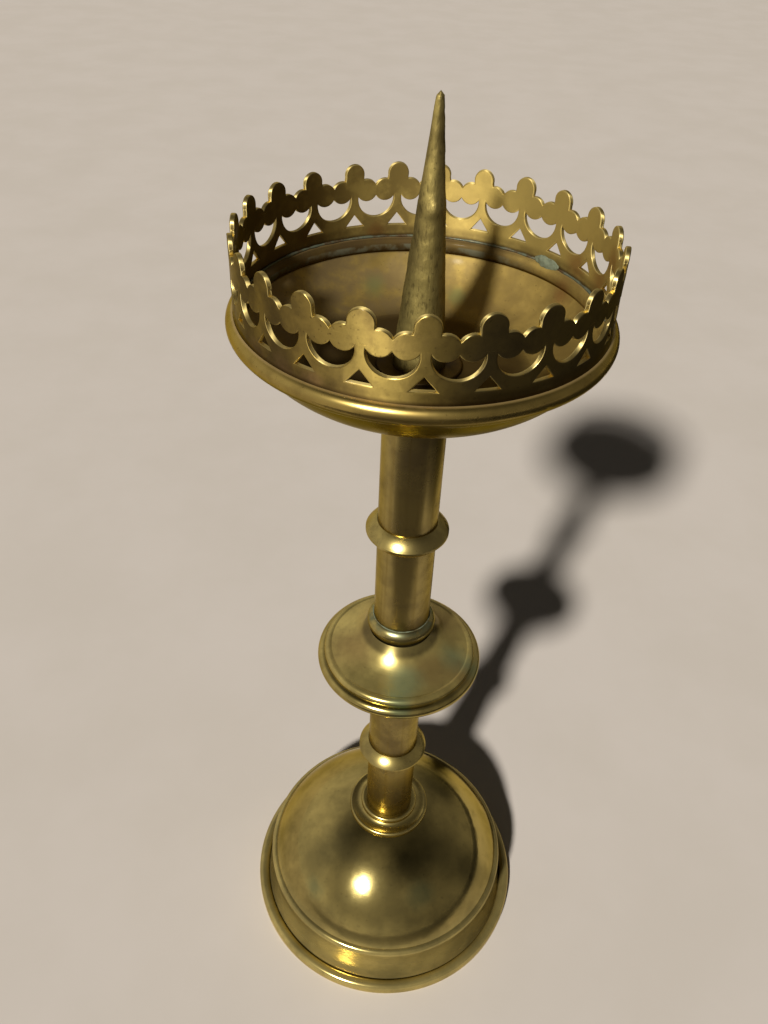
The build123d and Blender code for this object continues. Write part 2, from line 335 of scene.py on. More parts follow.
def stain(tree, where, place, size):
    """Mask of one stain with an uneven, soft edge, from its place and size in millimetres."""
    centre = Vector(place) * MM
    links = {0: where["at"], 1: centre}
    away = add(tree, "ShaderNodeVectorMath", links, operation="DISTANCE").outputs["Value"]
    edge = noise(tree, where["at"], size, 4.0, MOTTLE_ROUGHNESS)
    uneven = reckon(tree, "MULTIPLY_ADD", edge, size * MM, away)
    return fade(tree, uneven, 1.5 * size * MM, 0.6 * size * MM)


def stained(tree, where, colour, stains, code, strength):
    """Colour with a group of stains of one kind laid over it."""
    for place, size in stains:
        colour = laid_over(tree, colour, stain(tree, where, place, size), code, strength)
    return colour


def brass_colour(tree, where, clean, tarnish, dirt, patch):
    """Brass that has yellowed, browned in patches and caught dirt in its pores."""
    patches = mottle(tree, where["at"], patch, 0.36, 0.68)
    colour = laid_over(tree, linear(clean), patches, tarnish)
    clouds = mottle(tree, where["at"], patch / 5, 0.5, 0.75)
    colour = laid_over(tree, colour, clouds, tarnish, 0.45)
    specks = mottle(tree, where["at"], 1.3, 0.66, 0.74, 2.0)
    return laid_over(tree, colour, specks, dirt, 0.5), patches


def finish_metal(tree, shader, colour, patches, smooth, dull, marks, depth, wax=WAX_SHINE):
    """Sets the colour, a roughness that rises with the tarnish, and the fine relief of the working marks."""
    shader.inputs["Specular Tint"].default_value = linear("#E6D6A0")
    shader.inputs["Coat Weight"].default_value = wax
    shader.inputs["Coat Roughness"].default_value = WAX_ROUGHNESS
    tree.links.new(colour, shader.inputs["Base Color"])
    tree.links.new(ranged(tree, patches, smooth, dull), shader.inputs["Roughness"])
    bump = add(tree, "ShaderNodeBump", {"Height": marks, "Strength": 0.5, "Distance": depth * MM})
    tree.links.new(bump.outputs[0], shader.inputs["Normal"])


def spun_brass():
    """Sheet brass spun on a lathe and polished: mirror-like, with faint rings and a slightly wavy surface."""
    material, tree, shader, where = new_metal("spun_polished_brass")
    colour, patches = brass_colour(tree, where, clean="#BEAC6A", tarnish="#8C7F4E", dirt="#4A3C20", patch=34)
    unpolished = fade_mm(tree, where["height"], *FOOT_UNPOLISHED_LEVEL)
    colour = laid_over(tree, colour, unpolished, "#8E8052", 0.3)
    # Painted dark reflections, partly tarnish, on the dome; the green patches after them are real patina
    colour = stained(tree, where, colour, FOOT_LEFT_TARNISH_AND_REFLECTION, "#47432D", 0.55)
    colour = stained(tree, where, colour, FOOT_RIGHT_TARNISH_AND_REFLECTION, "#38341F", 0.72)
    colour = stained(tree, where, colour, FOOT_GREEN, "#66785A", 0.45)
    rings = noise(tree, where["turned"], 0.7, 2.0)
    waves = noise(tree, where["at"], 9, 3.0)
    marks = reckon(tree, "MULTIPLY_ADD", waves, 8.0, rings)
    dull = reckon(tree, "MULTIPLY_ADD", unpolished, 1.6, patches)
    metal = ranged(tree, unpolished, 1.0, 0.65)
    tree.links.new(metal, shader.inputs["Metallic"])
    finish_metal(tree, shader, colour, dull, smooth=0.1, dull=0.17, marks=marks, depth=0.012)
    return material


def drawn_brass():
    """Tube drawn through a die: satin, with fine lines along its length."""
    material, tree, shader, where = new_metal("drawn_brass_tube")
    colour, patches = brass_colour(tree, where, clean="#AE9C60", tarnish="#7E6F4A", dirt="#43371F", patch=26)
    along = add(tree, "ShaderNodeMapping", {"Vector": where["at"], "Scale": (1, 1, 0.02)}).outputs[0]
    lines = noise(tree, along, 0.8, 3.0)
    streaks = mottle(tree, along, 3.0, 0.5, 0.72)
    colour = laid_over(tree, colour, streaks, "#7F6C38", 0.5)
    finish_metal(tree, shader, colour, patches, smooth=0.22, dull=0.32, marks=lines, depth=0.02)
    return material


def turned_brass():
    """Bar brass turned on a lathe: rings of fine tool marks, greenish where it is handled least."""
    material, tree, shader, where = new_metal("turned_brass")
    colour, patches = brass_colour(tree, where, clean="#C0AE6A", tarnish="#8E8050", dirt="#47401F", patch=16)
    rings = noise(tree, where["turned"], 0.6, 2.0)
    finish_metal(tree, shader, colour, patches, smooth=0.22, dull=0.32, marks=rings, depth=0.03)
    return material


def knop_brass():
    """Spun brass that was cleaned badly: green patina and brown smudges left round the groove."""
    material, tree, shader, where = new_metal("patinated_spun_brass")
    colour = brass_colour(tree, where, clean="#C4B26C", tarnish="#94864F", dirt="#43371F", patch=22)[0]
    colour = stained(tree, where, colour, KNOP_BROWN, "#7A5C38", 0.5)
    colour = stained(tree, where, colour, KNOP_GREEN, "#7F9A78", 0.5)
    # Painted shade in the cove under the collar
    near_collar = fade_mm(tree, where["radius"], *KNOP_COVE_SHADE_EDGE)
    cove = both(tree, near_collar, fade_mm(tree, where["height"], *KNOP_COVE_SHADE_LEVEL))
    colour = laid_over(tree, colour, cove, "#352C1A", 0.7)
    rings = noise(tree, where["turned"], 0.7, 2.0)
    handled = fade_mm(tree, where["radius"], *KNOP_HANDLED_EDGE)
    metal = ranged(tree, handled, 0.75, 1.0)
    tree.links.new(metal, shader.inputs["Metallic"])
    dull = ranged(tree, handled, 1.0, 0.0)
    finish_metal(tree, shader, colour, dull, smooth=0.2, dull=0.27, marks=rings, depth=0.02, wax=0.2)
    return material


def collar_brass():
    """Turned collar on the knop: a roll greened from above, with painted shade in the cove of its neck."""
    material, tree, shader, where = new_metal("neck_shaded_turned_brass")
    colour, patches = brass_colour(tree, where, clean="#B5A566", tarnish="#857A50", dirt="#47401F", patch=12)
    green = both(tree, fade(tree, where["facing_up"], 0.3, 0.75), mottle(tree, where["at"], 6, 0.35, 0.6))
    colour = laid_over(tree, colour, green, "#6E7D66", 0.6)
    # Painted shade: the neck under the roll is painted near black
    neck = fade(tree, where["height"], knop_crown + 4.6 * MM, knop_crown + 3.8 * MM)
    colour = laid_over(tree, colour, neck, "#2C2416", 0.9)
    dull = reckon(tree, "MULTIPLY_ADD", patches, 0.3, neck)
    rings = noise(tree, where["turned"], 0.6, 2.0)
    finish_metal(tree, shader, colour, dull, smooth=0.22, dull=0.6, marks=rings, depth=0.03)
    return material


def pan_brass():
    """Spun dish: polished below, with painted shade on its underside, and inside it brown from wax with green
    crust along the rim.
    """
    material, tree, shader, where = new_metal("wax_stained_spun_brass")
    colour, patches = brass_colour(tree, where, clean="#B09A58", tarnish="#84713F", dirt="#4A3C20", patch=30)
    not_under = fade(tree, where["facing_up"], -0.6, -0.3)
    inward = both(tree, fade(tree, where["outward"], 0.004, -0.004), not_under)
    flat = fade(tree, where["facing_up"], 0.9, 0.98)
    upward = reckon(tree, "MAXIMUM", inward, flat)
    inside = both(tree, upward, fade_mm(tree, where["radius"], *PAN_INSIDE_EDGE))
    # Painted shade: the faces that look down are painted darker
    under = fade(tree, where["facing_up"], -0.15, -0.5)
    colour = laid_over(tree, colour, under, "#463F2F", 0.8)
    wax = both(tree, inside, mottle(tree, where["at"], 18, 0.35, 0.62))
    colour = laid_over(tree, colour, wax, "#84703F", 0.75)
    film = both(tree, inside, fade_mm(tree, where["x"], 60, -50))
    film = both(tree, film, mottle(tree, where["at"], 9, 0.3, 0.6))
    colour = laid_over(tree, colour, film, "#7E705A", 0.5)
    floor_brown = both(tree, inside, fade_mm(tree, where["radius"], *PAN_FLOOR_EDGE))
    colour = laid_over(tree, colour, floor_brown, "#46371F", 0.85)
    colour = stained(tree, where, colour, PAN_GREEN, "#78804F", 0.5)
    colour = stained(tree, where, colour, PAN_RED, "#7A4B2C", 0.5)
    above_dish = fade_mm(tree, where["height"], *PAN_BEAD_LEVEL)
    inner_bead = both(tree, fade_mm(tree, where["radius"], *PAN_BEAD_EDGE), above_dish)
    inner_bead = both(tree, inner_bead, fade_mm(tree, where["x"], 45, 25))
    colour = laid_over(tree, colour, inner_bead, "#4B3B23", 0.8)
    crust = band(tree, where["height"], PAN_CRUST_LOW, PAN_CRUST_HIGH, PAN_CRUST_SOFT)
    crust = both(tree, inner_bead, crust)
    crust = both(tree, crust, fade_mm(tree, where["y"], 0, 30))
    crust = both(tree, crust, mottle(tree, where["at"], 7, 0.38, 0.6))
    colour = laid_over(tree, colour, crust, "#5A5E50", 0.7)
    on_bead = fade(tree, where["height"], rim_top - 0.9 * MM, rim_top)
    seam = both(tree, on_bead, fade_mm(tree, where["radius"], *PAN_SEAM_EDGE))
    colour = laid_over(tree, colour, seam, "#8C7550", 0.7)
    dusty = reckon(tree, "MAXIMUM", crust, both(tree, seam, 0.8))
    metal = ranged(tree, dusty, 1.0, 0.35)
    tree.links.new(metal, shader.inputs["Metallic"])
    rings = noise(tree, where["turned"], 0.7, 2.0)
    satin = both(tree, patches, 0.25)
    rough = reckon(tree, "MAXIMUM", satin, inside)
    finish_metal(tree, shader, colour, rough, smooth=0.24, dull=0.72, marks=rings, depth=0.02, wax=0.01)
    return material


def pierced_brass():
    """Strip sawn and filed by hand: worn bright on its outside and edges, dull and stained on its inside;
    painted shade on its left inside and right outside, and painted highlights on its edges and foot.
    """
    material, tree, shader, where = new_metal("sawn_brass_strip")
    colour, patches = brass_colour(tree, where, clean="#A8924F", tarnish="#6E5D34", dirt="#4A3C20", patch=20)
    inside = fade(tree, where["outward"], 0.0, -0.02)
    colour = laid_over(tree, colour, inside, "#BDA65E", 0.75)
    brown = both(tree, inside, mottle(tree, where["at"], 10, 0.4, 0.58))
    brown = both(tree, brown, fade_mm(tree, where["x"], 45, -25))
    colour = laid_over(tree, colour, brown, "#5E4728", 0.4)
    colour = stained(tree, where, colour, STRIP_RED, "#84592F", 0.6)
    # The pale band at the strip's foot is a painted highlight
    colour = stained(tree, where, colour, STRIP_FOOT_PAINTED_HIGHLIGHT, "#A5855E", 0.6)
    # Painted shadow on the left inside, which faces away from the lamp
    left_inside_shadow = both(tree, inside, fade_mm(tree, where["x"], -20, -55))
    colour = laid_over(tree, colour, left_inside_shadow, "#3A2B19", 0.8)
    outside = fade(tree, where["outward"], 0.0, 0.02)
    # Painted shade: the outside right half is painted dark, as a dark reflection of the dim room
    right_outside_shade = both(tree, outside, fade_mm(tree, where["x"], -2, 22))
    colour = laid_over(tree, colour, right_outside_shade, "#423D31", 0.6)
    brown_left = both(tree, outside, fade_mm(tree, where["x"], -24, -46))
    colour = laid_over(tree, colour, brown_left, "#4E4028", 0.4)
    # Darker band just above the rim: partly dirt and partly painted shade
    near_rim = fade(tree, where["height"], rim_top + 5 * MM, rim_top + 2 * MM)
    low_dirt_and_shade = both(tree, near_rim, mottle(tree, where["at"], 12, 0.3, 0.6))
    colour = laid_over(tree, colour, low_dirt_and_shade, "#4A3A20", 0.5)
    foot_dirt = fade(tree, where["height"], rim_top + 1.6 * MM, rim_top + 0.1 * MM)
    colour = laid_over(tree, colour, foot_dirt, "#45351C", 0.8)
    grain = noise(tree, where["at"], 0.9, 3.0)
    rough = reckon(tree, "MAXIMUM", patches, inside)
    turned_away = reckon(tree, "ABSOLUTE", where["outward"])
    # Edge faces painted pale: partly real edge wear and partly painted highlight
    worn = fade(tree, turned_away, 0.055, 0.03)
    colour = laid_over(tree, colour, worn, "#D8C582", 0.7)
    lit = both(tree, inside, fade_mm(tree, where["x"], -52, -22))
    metal = ranged(tree, lit, 1.0, 0.7)
    tree.links.new(metal, shader.inputs["Metallic"])
    finish_metal(tree, shader, colour, rough, smooth=0.38, dull=0.62, marks=grain, depth=0.03)
    shader.inputs["Anisotropic"].default_value = 0.85
    shader.inputs["Anisotropic Rotation"].default_value = 0.25
    along = add(tree, "ShaderNodeTangent", direction_type="RADIAL", axis="Z")
    tree.links.new(along.outputs[0], shader.inputs["Tangent"])
    return material


def cast_brass():
    """Brass cast in sand: a grainy skin, olive in its pits and bright on its high spots, with painted shade
    down both sides.
    """
    material, tree, shader, where = new_metal("sand_cast_brass")
    colour, patches = brass_colour(tree, where, clean="#B5A360", tarnish="#7F7142", dirt="#3E341D", patch=18)
    drawn_out = add(tree, "ShaderNodeMapping", {"Vector": where["at"], "Scale": (1, 1, 0.35)}).outputs[0]
    grain = noise(tree, drawn_out, 1.1, 5.0)
    pits = fade(tree, grain, 0.46, 0.34)
    colour = laid_over(tree, colour, pits, "#4E4326", 0.5)
    # Painted shade down both sides of the spike, darker on the right, leaving the lit middle bright
    aside = reckon(tree, "DIVIDE", where["x"], where["radius"])
    colour = laid_over(tree, colour, fade(tree, aside, 0.0, 0.7), "#3A311D", 0.6)
    colour = laid_over(tree, colour, fade(tree, aside, -0.3, -0.9), "#4A4026", 0.45)
    shader.inputs["Metallic"].default_value = 0.7
    finish_metal(tree, shader, colour, patches, smooth=0.42, dull=0.52, marks=grain, depth=0.5, wax=0.03)
    return material


def washer_brass():
    """Old washer under the spike: black-brown with burnt wax, rubbed on its edge."""
    material, tree, shader, where = new_metal("burnt_brass_washer")
    colour, patches = brass_colour(tree, where, clean="#4E3F26", tarnish="#33281A", dirt="#1F1811", patch=12)
    grain = noise(tree, where["at"], 0.9, 3.0)
    finish_metal(tree, shader, colour, patches, smooth=0.55, dull=0.7, marks=grain, depth=0.05)
    return material


def forged_iron():
    """Black iron inside the foot: dull scale with brown rust."""
    material, tree, shader, where = new_metal("rusted_black_iron")
    rust = mottle(tree, where["at"], 7, 0.45, 0.65)
    colour = laid_over(tree, linear("#55504B"), rust, "#6B4630")
    metal = ranged(tree, rust, 1.0, 0.2)
    tree.links.new(metal, shader.inputs["Metallic"])
    grain = noise(tree, where["at"], 0.9, 4.0)
    finish_metal(tree, shader, colour, rust, smooth=0.45, dull=0.8, marks=grain, depth=0.08)
    return material


def soft_solder():
    """Tin solder run along the seam: a lumpy line, browned and green at its edges."""
    material, tree, shader, where = new_metal("tarnished_solder")
    green = mottle(tree, where["at"], 5, 0.36, 0.56)
    colour = laid_over(tree, linear("#4E3E2C"), green, "#5A6152")
    pale = mottle(tree, where["at"], 4, 0.54, 0.66)
    colour = laid_over(tree, colour, pale, "#8A8670", 0.35)
    shader.inputs["Metallic"].default_value = 0.45
    grain = noise(tree, where["at"], 0.8, 4.0)
    finish_metal(tree, shader, colour, green, smooth=0.42, dull=0.6, marks=grain, depth=0.08)
    return material


def verdigris():
    """Copper salts dried in a joint: a pale green, chalky crust."""
    material, tree, shader, where = new_metal("verdigris_crust")
    shader.inputs["Metallic"].default_value = 0
    brown = mottle(tree, where["at"], 4, 0.5, 0.66)
    colour = laid_over(tree, linear("#656D5B"), brown, "#4E4933")
    grain = noise(tree, where["at"], 0.7, 4.0)
    finish_metal(tree, shader, colour, brown, smooth=0.7, dull=0.85, marks=grain, depth=0.1)
    return material


def only(piece):
    """Makes one piece the only selected one, ready for the operators."""
    bpy.ops.object.select_all(action="DESELECT")
    piece.select_set(True)
    bpy.context.view_layer.objects.active = piece


def apply_modifier(piece, name, kind, **settings):
    """Adds a modifier and applies it to the mesh."""
    only(piece)
    modifier = piece.modifiers.new(name, kind)
    for setting, value in settings.items():
        setattr(modifier, setting, value)
    bpy.ops.object.modifier_apply(modifier=name)


def lumps(name, size):
    """Cloud texture for uneven metal, with lumps about this many millimetres wide."""
    texture = bpy.data.textures.new(name, "CLOUDS")
    texture.noise_scale = size * MM
    texture.noise_depth = 3
    return texture


def fit(piece, material, body):
    """Gives a finished piece its material and its body."""
    piece.data.materials.clear()
    piece.data.materials.append(material)
    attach(piece, body)


def arc(centre, radius, start, end):
    """Points along an arc, from one angle to the other in degrees."""
    steps = max(2, round(abs(end - start) / ARC_STEP))
    angles = [math.radians(start + (end - start) * step / steps) for step in range(steps + 1)]
    return [(centre[0] + radius * math.cos(a), centre[1] + radius * math.sin(a)) for a in angles]


def mirrored(points):
    """The same points on the other side of the middle, in the other order."""
    return [(-x, y) for x, y in reversed(points)]


def shifted(points, distance):
    """The same points further along the strip."""
    return [(x + distance, y) for x, y in points]


def corner(first, second, opposite):
    """Angle in degrees between two sides of a triangle whose three sides are known."""
    return math.degrees(math.acos((first**2 + second**2 - opposite**2) / (2 * first * second)))


def half_arch(half_pitch):
    """Right half of an arch between two trefoils, from its foot up to where the side leaves meet."""
    radius = ARCH_SHARE * half_pitch
    leaf = SIDE_LEAF_SHARE * half_pitch
    aside = (1 - SIDE_LEAF_REACH_SHARE) * half_pitch
    rise = SIDE_LEAF_HEIGHT - ARCH_HEIGHT
    between = math.hypot(aside, rise)
    turn = math.degrees(math.atan2(rise, aside))
    at_arch = turn - corner(between, radius, leaf)
    at_leaf = 180 + turn + corner(between, leaf, radius) - 360
    meeting = -180 + math.degrees(math.acos(aside / leaf))
    points = arc((0, ARCH_HEIGHT), radius, -90, at_arch)
    return points + arc((aside, SIDE_LEAF_HEIGHT), leaf, at_leaf, meeting)[1:]


def trefoil_top(half_pitch, number):
    """Upper edge of one trefoil from left to right, each one sawn a little differently."""
    uneven = math.sin(2.4 * number + 0.5)
    lower = math.sin(1.7 * number + 1.9)
    leaf = LEAF_SHARE * half_pitch * (1 + LEAF_UNEVEN * uneven)
    side_leaf = SIDE_LEAF_SHARE * half_pitch
    aside = SIDE_LEAF_REACH_SHARE * half_pitch
    meeting = math.degrees(math.acos((half_pitch - aside) / side_leaf))
    cusp = math.degrees(math.acos((aside - leaf) / side_leaf))
    top = STRIP_HEIGHT - LEAF_DROP * (1 + lower)
    left = arc((-aside, SIDE_LEAF_HEIGHT), side_leaf, 180 - meeting, cusp)
    crown = arc((LEAF_SHIFT * lower, top - leaf), leaf, 190, -10)
    return left + crown + mirrored(left)


def lay_out_strip():
    """Flat strip as one filled curve in millimetres: outline, arches and triangles, with rounded edges."""
    half_pitch = (coronet_radius / MM - STRIP_THICKNESS / 2) * math.pi / TREFOILS
    length = 2 * half_pitch * TREFOILS
    rising = half_arch(half_pitch)
    outline = [(0, 0), (length, 0)] + shifted(mirrored(rising)[::-1], length)
    for number in reversed(range(TREFOILS)):
        outline += shifted(trefoil_top(half_pitch, number), (2 * number + 1) * half_pitch)[::-1]
    outline += rising[::-1]
    holes = []
    for number in range(TREFOILS):
        middle = (2 * number + 1) * half_pitch
        side = TRIANGLE_SHARE * half_pitch
        holes.append([(middle - side, TRIANGLE_FOOT), (middle + side, TRIANGLE_FOOT), (middle, TRIANGLE_TOP)])
        if number:
            holes.append(shifted(rising + mirrored(rising)[1:-1], middle - half_pitch))
    curve = bpy.data.curves.new("coronet_strip", "CURVE")
    curve.dimensions = "2D"
    curve.fill_mode = "BOTH"
    curve.extrude = STRIP_THICKNESS / 2 - STRIP_EDGE_WEAR
    curve.bevel_depth = STRIP_EDGE_WEAR
    curve.bevel_resolution = 2
    curve.offset = -STRIP_EDGE_WEAR
    for loop in [outline] + holes:
        spline = curve.splines.new("POLY")
        spline.points.add(len(loop) - 1)
        spline.use_cyclic_u = True
        for point, (x, y) in zip(spline.points, loop):
            point.co = (x, y, 0, 1)
    strip = bpy.data.objects.new("coronet_strip", curve)
    bpy.context.scene.collection.objects.link(strip)
    only(strip)
    bpy.ops.object.convert(target="MESH")
    return bpy.context.object, length


def make_coronet_strip(material):
    """Coronet sawn from flat strip and bent round by hand: uneven spacing, a slight wobble, worn edges."""
    strip, length = lay_out_strip()
    strip.data.uv_layers.remove(strip.data.uv_layers[0])
    bpy.ops.object.mode_set(mode="EDIT")
    bpy.ops.mesh.select_all(action="SELECT")
    bpy.ops.mesh.remove_doubles(threshold=0.002)
    for slice_number in range(1, int(length / STRIP_SLICE)):
        bpy.ops.mesh.select_all(action="SELECT")
        bpy.ops.mesh.bisect(plane_co=(slice_number * STRIP_SLICE, 0, 0), plane_no=(1, 0, 0))
    bpy.ops.object.mode_set(mode="OBJECT")
    middle_radius = coronet_radius / MM - STRIP_THICKNESS / 2
    for vertex in strip.data.vertices:
        along, up, out = vertex.co
        even_angle = SEAM_ANGLE + 360 * along / length
        leaf_number = int(along / length * TREFOILS)
        lean = LEAF_LEAN * math.sin(2.9 * leaf_number + 1) * max(0, up / STRIP_HEIGHT - LEAF_LEAN_START)
        wobble = STRIP_WOBBLE * math.sin(math.radians(5 * even_angle)) * up / STRIP_HEIGHT
        angle = even_angle
        for times, swing, phase in STRIP_SWINGS:
            angle += swing * math.cos(math.radians(times * even_angle - phase))
        turn = math.radians(angle + STRIP_TURN)
        radius = (middle_radius + out + lean + wobble) * MM
        vertex.co = (radius * math.cos(turn), radius * math.sin(turn), coronet_low.z + up * MM)
    strip.data.use_auto_texspace = False
    strip.data.texspace_location = (0, 0, (coronet_low.z + coronet_high.z) / 2)
    strip.data.texspace_size = (coronet_radius, coronet_radius, (coronet_high.z - coronet_low.z) / 2)
    only(strip)
    bpy.ops.object.shade_smooth_by_angle(angle=math.radians(SHARP_ANGLE))
    apply_modifier(strip, "even_faces", "WEIGHTED_NORMAL", keep_sharp=True)
    fit(strip, material, "pan")
    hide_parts("coronet")


def make_spike(material):
    """Spike as it left the sand: a tapered casting with a lumpy skin, a bump and a slight lean."""
    length = spike_high.z - spike_low.z
    radius = spike_high.x
    bpy.ops.object.select_all(action="DESELECT")
    bpy.ops.mesh.primitive_circle_add(vertices=SPIKE_SIDES, radius=radius, location=(0, 0, spike_low.z))
    spike = bpy.context.object
    spike.name = "spike_casting"
    bpy.ops.object.transform_apply(location=True, rotation=True, scale=True)
    bpy.ops.object.mode_set(mode="EDIT")
    bpy.ops.mesh.select_all(action="SELECT")
    middle = (0, 0, spike_low.z)
    bpy.ops.mesh.extrude_region_move()
    narrower = SPIKE_BORE_RADIUS / radius
    bpy.ops.transform.resize(value=(narrower, narrower, 1), center_override=middle)
    bpy.ops.mesh.extrude_region_move(TRANSFORM_OT_translate={"value": (0, 0, SPIKE_BORE_DEPTH)})
    bpy.ops.mesh.edge_face_add()
    bpy.ops.mesh.select_all(action="DESELECT")
    bpy.ops.object.mode_set(mode="OBJECT")
    for vertex in spike.data.vertices:
        at_foot = abs(vertex.co.z - spike_low.z) < 1e-6
        vertex.select = at_foot and math.hypot(vertex.co.x, vertex.co.y) > radius * 0.9
    bpy.ops.object.mode_set(mode="EDIT")
    bpy.ops.mesh.select_mode(type="VERT")
    bpy.ops.object.mode_set(mode="OBJECT")
    for edge in spike.data.edges:
        edge.select = all(spike.data.vertices[index].select for index in edge.vertices)
    bpy.ops.object.mode_set(mode="EDIT")
    height, share = SPIKE_PROFILE[0]
    for next_height, next_share in SPIKE_PROFILE[1:]:
        step = (next_height - height) * length
        bpy.ops.mesh.extrude_region_move(TRANSFORM_OT_translate={"value": (0, 0, step)})
        narrower = next_share / share
        bpy.ops.transform.resize(value=(narrower, narrower, 1), center_override=(0, 0, 0))
        height, share = next_height, next_share
    bpy.ops.mesh.extrude_region_move(TRANSFORM_OT_translate={"value": (0, 0, (1 - height) * length)})
    bpy.ops.mesh.merge(type="CENTER")
    bpy.ops.mesh.select_all(action="SELECT")
    bpy.ops.mesh.normals_make_consistent(inside=False)
    bpy.ops.object.mode_set(mode="OBJECT")
    apply_modifier(spike, "fine", "SUBSURF", subdivision_type="SIMPLE", levels=3, render_levels=3)
    skin = spike.vertex_groups.new(name="skin")
    for vertex in spike.data.vertices:
        above = (vertex.co.z - spike_low.z) / length
        outside = math.hypot(vertex.co.x, vertex.co.y) > SPIKE_BORE_RADIUS * 1.02 or above > 0.2
        if outside and above < SPIKE_TIP:
            skin.add([vertex.index], min(1.0, above / 0.04), "REPLACE")
    settings = {"vertex_group": "skin", "mid_level": 0.5}
    for kind, width, depth in CAST_SKIN:
        texture = lumps("cast_" + kind, width)
        apply_modifier(spike, kind, "DISPLACE", texture=texture, strength=depth * MM, **settings)
    for vertex in spike.data.vertices:
        above = (vertex.co.z - spike_low.z) / length
        near = (vertex.co - SPIKE_BUMP_PLACE).length / SPIKE_BUMP_WIDTH
        if above > SPIKE_BUMP_START:
            swell = SPIKE_BUMP_SWELL * math.exp(-near * near)
            vertex.co.x *= 1 + swell
            vertex.co.y *= 1 + swell
        bend = math.sin(math.pi * min(above, 0.8) ** 0.8 / 1.35)
        vertex.co.x += SPIKE_LEAN * bend * max(0.0, above - SPIKE_LEAN_START) / (1 - SPIKE_LEAN_START)
    only(spike)
    bpy.ops.object.shade_smooth()
    fit(spike, material, "pricket")
    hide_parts("pricket")


def make_knop_sweep(material):
    """Hollow sweep from the knop's saucer up to its collar, turned as a thin ring that lies on the saucer."""
    width = SWEEP_RADIUS - SWEEP_NECK_RADIUS
    levels = []
    for step in range(SWEEP_STEPS + 1):
        radius = SWEEP_RADIUS - width * step / SWEEP_STEPS
        share = (radius - SWEEP_NECK_RADIUS) / (SAUCER_GROOVE_RADIUS - SWEEP_NECK_RADIUS)
        saucer = knop_crown - SAUCER_RISE * share - 4 * SAUCER_HOLLOW * share * (1 - share)
        levels.append((radius, saucer + SWEEP_RISE * ((SWEEP_RADIUS - radius) / width) ** 2))
    radius, level = SWEEP_RADIUS, levels[0][1] - SWEEP_WALL
    bpy.ops.object.select_all(action="DESELECT")
    bpy.ops.mesh.primitive_circle_add(vertices=SWEEP_SIDES, radius=radius, location=(0, 0, level))
    sweep = bpy.context.object
    sweep.name = "knop_sweep"
    bpy.ops.object.transform_apply(location=True, rotation=True, scale=True)
    bpy.ops.object.mode_set(mode="EDIT")
    bpy.ops.mesh.select_all(action="SELECT")
    for next_radius, next_level in levels + [(SWEEP_NECK_RADIUS, knop_crown - SWEEP_WALL)]:
        bpy.ops.mesh.extrude_region_move(TRANSFORM_OT_translate={"value": (0, 0, next_level - level)})
        narrower = next_radius / radius
        bpy.ops.transform.resize(value=(narrower, narrower, 1), center_override=(0, 0, 0))
        radius, level = next_radius, next_level
    bpy.ops.mesh.select_all(action="DESELECT")
    bpy.ops.mesh.select_non_manifold()
    bpy.ops.mesh.bridge_edge_loops()
    bpy.ops.mesh.select_all(action="SELECT")
    bpy.ops.mesh.normals_make_consistent(inside=False)
    bpy.ops.object.mode_set(mode="OBJECT")
    only(sweep)
    bpy.ops.object.shade_smooth_by_angle(angle=math.radians(SHARP_ANGLE))
    fit(sweep, material, "stem")


def make_ring_line(name, radius, height, thickness, texture, strength, material, body):
    """Uneven line of solder or crust run round a joint."""
    bpy.ops.object.select_all(action="DESELECT")
    bpy.ops.mesh.primitive_torus_add(
        major_radius=radius,
        minor_radius=thickness,
        major_segments=LINE_STEPS,
        minor_segments=LINE_SIDES,
        location=(0, 0, height),
    )
    line = bpy.context.object
    line.name = name
    bpy.ops.object.transform_apply(location=True, rotation=True, scale=True)
    apply_modifier(line, "uneven", "DISPLACE", texture=texture, strength=strength, mid_level=0.6)
    only(line)
    bpy.ops.object.shade_smooth()
    fit(line, material, body)


def make_solder_patch(material):
    """Lump of greened solder on the inside of the seam, where the strip was mended."""
    bpy.ops.object.select_all(action="DESELECT")
    bpy.ops.mesh.primitive_ico_sphere_add(subdivisions=5, radius=1)
    patch = bpy.context.object
    patch.name = "solder_patch"
    bpy.ops.object.mode_set(mode="EDIT")
    bpy.ops.mesh.select_all(action="SELECT")
    bpy.ops.transform.resize(value=PATCH_HALF_SIZE)
    bpy.ops.object.mode_set(mode="OBJECT")
    texture = lumps("solder_lumps", 3)
    apply_modifier(patch, "lumps", "DISPLACE", texture=texture, strength=PATCH_UNEVEN, mid_level=0.5)
    turn = Matrix.Rotation(math.radians(PATCH_ANGLE), 4, "Z")
    place = turn @ Matrix.Translation((PATCH_RADIUS, 0, rim_top + PATCH_LIFT))
    patch.data.transform(place)
    only(patch)
    bpy.ops.object.shade_smooth()
    fit(patch, material, "pan")


def place_camera():
    """Camera at the photograph's place, looking down at the stand."""
    right = Vector((math.cos(CAMERA_YAW), -math.sin(CAMERA_YAW), 0))
    level = Vector((math.sin(CAMERA_YAW), math.cos(CAMERA_YAW), 0))
    forward = level * math.cos(CAMERA_PITCH) - Vector((0, 0, math.sin(CAMERA_PITCH)))
    up = right.cross(forward)
    rolled_right = right * math.cos(CAMERA_ROLL) + up * math.sin(CAMERA_ROLL)
    rolled_up = up * math.cos(CAMERA_ROLL) - right * math.sin(CAMERA_ROLL)
    camera_data = bpy.data.cameras.new("photo_camera")
    camera_data.sensor_width = SENSOR_MM
    camera_data.lens = FOCAL_PX / IMAGE_HEIGHT_PX * SENSOR_MM
    camera_data.clip_start = 0.01
    camera = bpy.data.objects.new("photo_camera", camera_data)
    bpy.context.scene.collection.objects.link(camera)
    turn = Matrix((rolled_right, rolled_up, -forward)).transposed()
    camera.matrix_world = Matrix.Translation(CAMERA_PLACE) @ turn.to_4x4()
    bpy.context.scene.camera = camera


